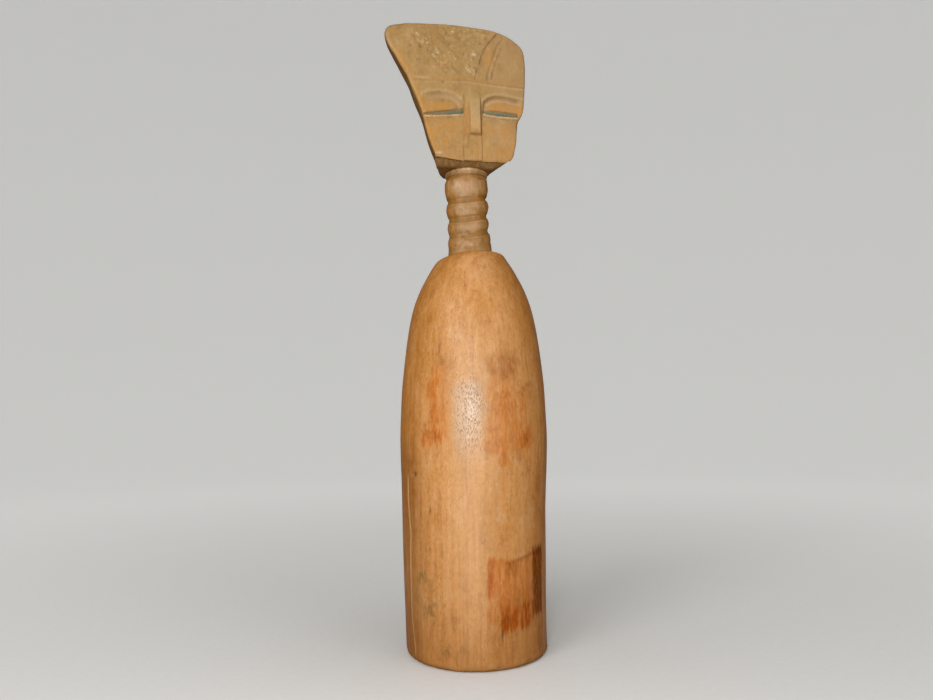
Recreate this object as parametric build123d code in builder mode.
from build123d import *
import math
import os

# Carved wooden doll guiro, standing on its flat base.
# Millimetres, +Z up, origin at the centre of the base face, face toward -Y.
# Left is -X and right is +X, as seen from in front of the face.

gap = 0.03                    # glue-line clearance on every fitted surface

# ---------------------------------------------------------------- dimensions
# resonator body
base_face_radius = 37.6
rim_arc_mid = (39.75, 1.0)    # radius, Z on the worn base rim
body_profile = [              # radius, Z from the top of the rim to the shoulder
    (40.5, 3.2), (40.6, 10.0), (40.8, 20.0), (41.3, 37.0), (41.7, 51.0),
    (42.0, 65.0), (42.3, 79.0), (42.9, 93.0), (43.6, 107.0), (44.0, 121.0),
    (43.6, 136.0), (43.0, 150.0), (42.1, 160.0), (41.0, 170.0), (39.7, 180.0),
    (38.0, 190.0), (35.6, 200.0), (32.0, 210.0), (28.1, 218.0), (24.8, 224.0),
    (22.1, 228.0), (19.4, 230.8),
]
shoulder_z = 232.3            # small flat the neck stands on
shoulder_radius = 16.4

# sounding chamber, and the wider seat for the plug at its mouth
plug_seat_radius = 31.5
plug_seat_top_z = 12.0
plug_chamfer = 1.0
chamber_radius = 29.0
chamber_shoulder_z = 176.0
chamber_arc_mid = (24.5, 193.0)
chamber_end_radius = 10.0
chamber_top_z = 203.0

# sound slot through the rear left wall
slot_length = 92.0
slot_width = 7.0
slot_centre_z = 118.0
slot_azimuth = 45.0           # degrees from straight back toward the left
slot_reach = 60               # from the body axis to beyond the wall

# rasp: column of straight V notches across the back
rasp_count = 23
rasp_pitch = 5.2
rasp_first_z = 52.0
rasp_depth = 2.4
rasp_half_width = 1.7         # at the body surface
rasp_length = 48
rasp_overrun = 1.0            # how far the cutter stands out of the surface

# neck
neck_base_x = -0.9
neck_lean = 0.041             # sideways shift toward -X per millimetre of height
neck_turn = -10.5             # degrees, turns the front facet a little to the left
corner_cut = 0.32             # corner chamfer as a fraction of the half width
neck_rings = [                # Z, half width of the squarish section
    (232.3, 13.6), (233.8, 13.3), (235.6, 12.9), (237.6, 13.3), (240.3, 12.9),
    (241.4, 12.2), (244.2, 12.1), (245.2, 12.7), (247.6, 12.9), (250.2, 12.6),
    (251.2, 11.9), (254.2, 11.8), (255.4, 12.7), (258.8, 13.1), (262.1, 12.7),
    (263.3, 11.9), (265.9, 11.9), (267.2, 12.8), (272.0, 13.5), (277.2, 13.4),
    (280.2, 12.3), (281.2, 12.2), (282.0, 13.2), (283.8, 13.4), (285.2, 12.9),
]
neck_base_z = shoulder_z
neck_top_z = neck_rings[-1][0]

# loose dowels, and how far their bores run out past the open faces
neck_dowel_radius = 6.0
neck_dowel_x = -1.25
neck_dowel_z = (211.0, 252.0)
head_dowel_radius = 5.0
head_dowel_x = -2.7
head_dowel_z = (268.0, 301.0)
dowel_chamfer = 0.8
body_bore_overrun = 5
neck_base_bore_overrun = 1
neck_top_bore_overrun = 2

# head block
face_y = -18.0                # forehead plane
head_outline = [              # X, Z, clockwise from the left chin corner
    (-24.2, 291.3), (-28.3, 302.5), (-31.9, 315.7), (-37.3, 330.2),
    (-41.5, 340.4), (-49.3, 354.1), (-53.6, 361.6), (-55.2, 366.2),
    (-53.8, 370.2), (-50.0, 372.4), (-40.6, 374.5), (-27.0, 375.5),
    (-13.2, 375.7), (0.8, 375.4), (12.4, 374.1), (22.7, 371.0),
    (28.8, 367.0), (32.0, 362.0), (33.1, 354.5), (32.9, 346.0),
    (32.1, 335.3), (31.4, 325.4), (29.8, 319.6), (28.0, 316.8),
    (27.0, 308.5), (25.8, 299.8), (24.0, 292.0), (22.4, 290.1),
    (9.7, 289.0), (-0.9, 288.4), (-7.1, 288.4), (-14.4, 289.5),
    (-20.5, 290.8),
]
head_sections = [             # Y, how far the outline is drawn in
    (face_y, 1.1), (-17.3, 0.3), (-16.2, 0.0), (-4.0, 1.6), (4.0, 3.8),
    (8.5, 7.2), (11.3, 12.0),
]
max_corner_inset = 4.0        # any inset beyond this is made by scaling
head_middle = (-6.0, 334.0)   # X, Z the scaling draws toward
head_half_size = (40.0, 39.0)  # X, Z

# tapered underside of the head, from the neck up to the chin
underside_sections = [        # Z, then the X, Y corners
    (neck_top_z + gap, [
        (12.6, -12.2), (12.6, 3.0), (9.0, 9.4), (-15.0, 9.4),
        (-19.0, 3.0), (-19.0, -12.2), (-17.6, -13.7), (11.2, -13.7)]),
    (291.6, [
        (22.4, -14.8), (22.4, 1.0), (17.0, 8.4), (-18.0, 8.4),
        (-24.0, 1.0), (-24.0, -14.8), (-22.4, -16.3), (20.8, -16.3)]),
]

# nose: long wedge with a wide left flank and a flat ridge
nose_ridge_x = (-2.9, 3.1)
nose_root_x = (-6.6, 4.5)
nose_tip_z = 305.2
nose_top_z = 327.5
nose_y = -19.0                # ridge at the tip
nose_flank_y = -16.6
nose_back_y = -14.0           # buried in the head

# areas of the face set back from the forehead
carve_start_y = -30           # carving cuts start here, in front of the face
below_chin_z = 280
beside_head_x = 60
cheek_y = -16.5
strip_y = -17.2               # plain strip from the nose to the chin
orbit_y = -16.4               # bottom of the eye sockets
strip_x = (-6.9, 4.5)
strip_overlap = 0.2           # the strip cut laps over the cheek and nose edges
cheeks = [                    # X, Z
    [(-beside_head_x, below_chin_z), (-beside_head_x, 315.0), (-32.0, 315.0),
     (strip_x[0], 318.4), (strip_x[0], below_chin_z)],
    [(strip_x[1], below_chin_z), (strip_x[1], 318.8), (28.0, 318.0),
     (beside_head_x, 318.0), (beside_head_x, below_chin_z)],
]
strip = [                     # X, Z
    (strip_x[0] - strip_overlap, below_chin_z),
    (strip_x[0] - strip_overlap, nose_tip_z + strip_overlap),
    (strip_x[1] + strip_overlap, nose_tip_z + strip_overlap),
    (strip_x[1] + strip_overlap, below_chin_z),
]
orbits = [                    # X, Z, left then right
    [(-32.0, 318.0), (-32.4, 328.2), (-28.8, 329.7), (-21.4, 331.0),
     (-14.0, 329.7), (-9.1, 326.8), (-7.1, 323.5), (-6.9, 319.9)],
    [(4.5, 320.0), (4.5, 322.4), (5.3, 326.4), (8.5, 329.2),
     (13.0, 330.9), (19.3, 330.8), (25.7, 329.7), (34.0, 328.6),
     (34.0, 319.0)],
]

# eye slits, as the X, Z ends of their centre lines
left_eye = ((-31.2, 316.3), (-6.8, 319.8))
right_eye = ((5.6, 320.1), (27.4, 319.3))
eye_slit_height = 2.0
eye_slit_depth = 1.5
eye_slit_floor_y = orbit_y + eye_slit_depth
inlay_recess = 0.3            # inlay face below the socket bottom

# incised lines
groove_start_y = face_y - 1.0
groove_depth = 0.9
groove_width = 1.0
groove_end_overlap = 0.2      # each segment runs on this far at both ends
groove_paths = [              # X, Z: the hairline, then the fan of hair bands
    [(-40.9, 336.9), (-24.5, 337.9), (-5.8, 339.0), (2.3, 339.0),
     (16.3, 338.0), (32.0, 337.4)],
    [(0.5, 341.4), (4.5, 354.8), (9.1, 364.6), (14.2, 371.6)],
    [(8.0, 341.4), (11.1, 352.8), (15.5, 364.6), (18.6, 369.4)],
    [(-8.9, 343.0), (-22.4, 360.1), (-31.0, 368.6)],
    [(-17.6, 343.5), (-31.1, 358.6), (-38.6, 366.8)],
]


# ------------------------------------------------------------ outline helpers
def body_radius(z):
    """Body radius at height z, straight between the profile points."""
    for (radius_a, z_a), (radius_b, z_b) in zip(body_profile, body_profile[1:]):
        if z_a <= z <= z_b:
            return radius_a + (radius_b - radius_a) * (z - z_a) / (z_b - z_a)


def octagon(half_width):
    """Square with cut corners, anticlockwise."""
    half = half_width
    flat = half - half * corner_cut
    return [(half, -flat), (half, flat), (flat, half), (-flat, half),
            (-half, flat), (-half, -flat), (-flat, -half), (flat, -half)]


def inward(points, amount):
    """Move each corner of a clockwise outline by amount along its inward bisector."""
    moved = []
    for i, (x, z) in enumerate(points):
        x_before, z_before = points[i - 1]
        x_after, z_after = points[(i + 1) % len(points)]
        in_x, in_z = x - x_before, z - z_before
        out_x, out_z = x_after - x, z_after - z
        in_length, out_length = math.hypot(in_x, in_z), math.hypot(out_x, out_z)
        normal_x = in_z / in_length + out_z / out_length
        normal_z = -in_x / in_length - out_x / out_length
        length = math.hypot(normal_x, normal_z)
        moved.append((x + normal_x / length * amount, z + normal_z / length * amount))
    return moved


def shrink(points, amount):
    """Draw an outline in: by its corners first, then by scaling to the head middle."""
    if amount <= max_corner_inset:
        return inward(points, amount)
    rest = amount - max_corner_inset
    middle_x, middle_z = head_middle
    scale_x, scale_z = (1.0 - rest / half_size for half_size in head_half_size)
    return [(middle_x + (x - middle_x) * scale_x, middle_z + (z - middle_z) * scale_z)
            for x, z in inward(points, max_corner_inset)]


def eye_bar(eye, clearance=0.0):
    """Corners of an eye slit, drawn in by the clearance."""
    (x_a, z_a), (x_b, z_b) = eye
    x_a, x_b = x_a + clearance, x_b - clearance
    half = eye_slit_height / 2 - clearance
    return [(x_a, z_a - half), (x_b, z_b - half), (x_b, z_b + half), (x_a, z_a + half)]


def groove_segment(start, end):
    """Corners of one straight piece of an incised line."""
    (x_a, z_a), (x_b, z_b) = start, end
    run_x, run_z = x_b - x_a, z_b - z_a
    length = math.hypot(run_x, run_z)
    side_x = -run_z / length * groove_width / 2
    side_z = run_x / length * groove_width / 2
    end_x = run_x / length * groove_end_overlap
    end_z = run_z / length * groove_end_overlap
    return [(x_a + side_x - end_x, z_a + side_z - end_z),
            (x_a - side_x - end_x, z_a - side_z - end_z),
            (x_b - side_x + end_x, z_b - side_z + end_z),
            (x_b + side_x + end_x, z_b + side_z + end_z)]


# --------------------------------------------------------------------- pieces
def make_body():
    with BuildPart() as body:
        with BuildSketch(Plane.XZ):
            with BuildLine():
                Line((0, 0), (base_face_radius, 0))
                ThreePointArc((base_face_radius, 0), rim_arc_mid, body_profile[0])
                Spline(*body_profile)
                Line(body_profile[-1], (shoulder_radius, shoulder_z))
                Line((shoulder_radius, shoulder_z), (0, shoulder_z))
                Line((0, shoulder_z), (0, 0))
            make_face()
        revolve(axis=Axis.Z)
        # plug seat and chamber bored from the base, with a rounded end
        with BuildSketch(Plane.XZ):
            with BuildLine():
                Polyline((0, 0), (plug_seat_radius, 0),
                         (plug_seat_radius, plug_seat_top_z),
                         (chamber_radius, plug_seat_top_z),
                         (chamber_radius, chamber_shoulder_z))
                ThreePointArc((chamber_radius, chamber_shoulder_z), chamber_arc_mid,
                              (chamber_end_radius, chamber_top_z))
                Line((chamber_end_radius, chamber_top_z), (0, chamber_top_z))
                Line((0, chamber_top_z), (0, 0))
            make_face()
        revolve(axis=Axis.Z, mode=Mode.SUBTRACT)
        # sound slot
        azimuth = math.radians(slot_azimuth)
        slot_plane = Plane(origin=(0, 0, slot_centre_z), x_dir=(0, 0, 1),
                           z_dir=(-math.sin(azimuth), math.cos(azimuth), 0))
        with BuildSketch(slot_plane):
            SlotOverall(slot_length, slot_width)
        extrude(amount=slot_reach, mode=Mode.SUBTRACT)
        # rasp notches, each cut to the same depth below the curved profile
        mouth_half = rasp_half_width * (rasp_depth + rasp_overrun) / rasp_depth
        for i in range(rasp_count):
            z = rasp_first_z + i * rasp_pitch
            radius = body_radius(z)
            with BuildSketch(Plane.YZ.offset(-rasp_length / 2)):
                with BuildLine():
                    Polyline((radius - rasp_depth, z),
                             (radius + rasp_overrun, z + mouth_half),
                             (radius + rasp_overrun, z - mouth_half),
                             (radius - rasp_depth, z))
                make_face()
            extrude(amount=rasp_length, mode=Mode.SUBTRACT)
        # socket for the neck dowel
        with BuildSketch(Plane.XY.offset(neck_dowel_z[0] - gap)):
            with Locations((neck_dowel_x, 0)):
                Circle(neck_dowel_radius + gap)
        extrude(amount=shoulder_z - neck_dowel_z[0] + body_bore_overrun,
                mode=Mode.SUBTRACT)
    return body.part


def make_base_plug():
    with BuildPart() as plug:
        with BuildSketch(Plane.XY):
            Circle(plug_seat_radius - gap)
        extrude(amount=plug_seat_top_z - gap)
        top_edges = plug.edges().filter_by(GeomType.CIRCLE).group_by(Axis.Z)[-1]
        chamfer(top_edges, plug_chamfer)
    return plug.part


def make_neck():
    with BuildPart() as neck:
        for i, (z, half_width) in enumerate(neck_rings):
            # only the lowest ring is lifted, for the glue line
            ring_z = z + gap if i == 0 else z
            ring_x = neck_base_x - neck_lean * (z - neck_base_z)
            with BuildSketch(Plane.XY.offset(ring_z)):
                with Locations(Location((ring_x, 0, 0), (0, 0, neck_turn))):
                    Polygon(*octagon(half_width), align=None)
        loft(ruled=True)
        # bore for the neck dowel, from below
        with BuildSketch(Plane.XY.offset(neck_base_z - neck_base_bore_overrun)):
            with Locations((neck_dowel_x, 0)):
                Circle(neck_dowel_radius + gap)
        extrude(amount=neck_dowel_z[1] - neck_base_z + neck_base_bore_overrun + gap,
                mode=Mode.SUBTRACT)
        # bore for the head dowel, open at the top
        with BuildSketch(Plane.XY.offset(head_dowel_z[0] - gap)):
            with Locations((head_dowel_x, 0)):
                Circle(head_dowel_radius + gap)
        extrude(amount=neck_top_z - head_dowel_z[0] + neck_top_bore_overrun,
                mode=Mode.SUBTRACT)
    return neck.part


def make_dowel(radius, x, z_range):
    with BuildPart() as dowel:
        with BuildSketch(Plane.XY.offset(z_range[0])):
            with Locations((x, 0)):
                Circle(radius)
        extrude(amount=z_range[1] - z_range[0])
        chamfer(dowel.edges().filter_by(GeomType.CIRCLE), dowel_chamfer)
    return dowel.part


def make_head():
    with BuildPart() as head:
        for y, inset in head_sections:
            with BuildSketch(Plane.XZ.offset(-y)):
                Polygon(*shrink(head_outline, inset), align=None)
        loft(ruled=True)
        for z, corners in underside_sections:
            with BuildSketch(Plane.XY.offset(z)):
                Polygon(*corners, align=None)
        loft(ruled=True)
        # cheeks, strip under the nose, then the eye sockets
        for outlines, floor_y in ((cheeks, cheek_y), ([strip], strip_y), (orbits, orbit_y)):
            with BuildSketch(Plane.XZ.offset(-carve_start_y)):
                for outline in outlines:
                    with BuildLine():
                        Polyline(*outline, outline[0])
                    make_face()
            extrude(amount=carve_start_y - floor_y, mode=Mode.SUBTRACT)
        # nose, its ridge running back into the forehead plane at the top
        for z, ridge_y in ((nose_tip_z, nose_y), (nose_top_z, face_y)):
            with BuildSketch(Plane.XY.offset(z)):
                with BuildLine():
                    Polyline((nose_root_x[0], nose_back_y), (nose_root_x[0], nose_flank_y),
                             (nose_ridge_x[0], ridge_y), (nose_ridge_x[1], ridge_y),
                             (nose_root_x[1], nose_flank_y), (nose_root_x[1], nose_back_y),
                             (nose_root_x[0], nose_back_y))
                make_face()
        loft(ruled=True)
        # incised hair lines
        for path in groove_paths:
            for start, end in zip(path, path[1:]):
                with BuildSketch(Plane.XZ.offset(-groove_start_y)):
                    Polygon(*groove_segment(start, end), align=None)
                extrude(amount=groove_start_y - (face_y + groove_depth), mode=Mode.SUBTRACT)
        # eye slits
        for eye in (left_eye, right_eye):
            with BuildSketch(Plane.XZ.offset(-carve_start_y)):
                Polygon(*eye_bar(eye), align=None)
            extrude(amount=carve_start_y - eye_slit_floor_y, mode=Mode.SUBTRACT)
        # mortise for the head dowel
        with BuildSketch(Plane.XY.offset(below_chin_z)):
            with Locations((head_dowel_x, 0)):
                Circle(head_dowel_radius + gap)
        extrude(amount=head_dowel_z[1] - below_chin_z + gap, mode=Mode.SUBTRACT)
    return head.part


def make_eye_inlay(eye):
    with BuildPart() as inlay:
        with BuildSketch(Plane.XZ.offset(-(eye_slit_floor_y - gap))):
            Polygon(*eye_bar(eye, gap), align=None)
        extrude(amount=eye_slit_depth - gap - inlay_recess)
    return inlay.part


# --------------------------------------------------------------------- export
pieces = {
    "body": make_body(),
    "base_plug": make_base_plug(),
    "neck_dowel": make_dowel(neck_dowel_radius, neck_dowel_x, neck_dowel_z),
    "neck": make_neck(),
    "head_dowel": make_dowel(head_dowel_radius, head_dowel_x, head_dowel_z),
    "head": make_head(),
    "left_eye_inlay": make_eye_inlay(left_eye),
    "right_eye_inlay": make_eye_inlay(right_eye),
}
os.makedirs("parts", exist_ok=True)
for name, piece in pieces.items():
    piece.label = name
    export_step(piece, f"parts/{name}.step")
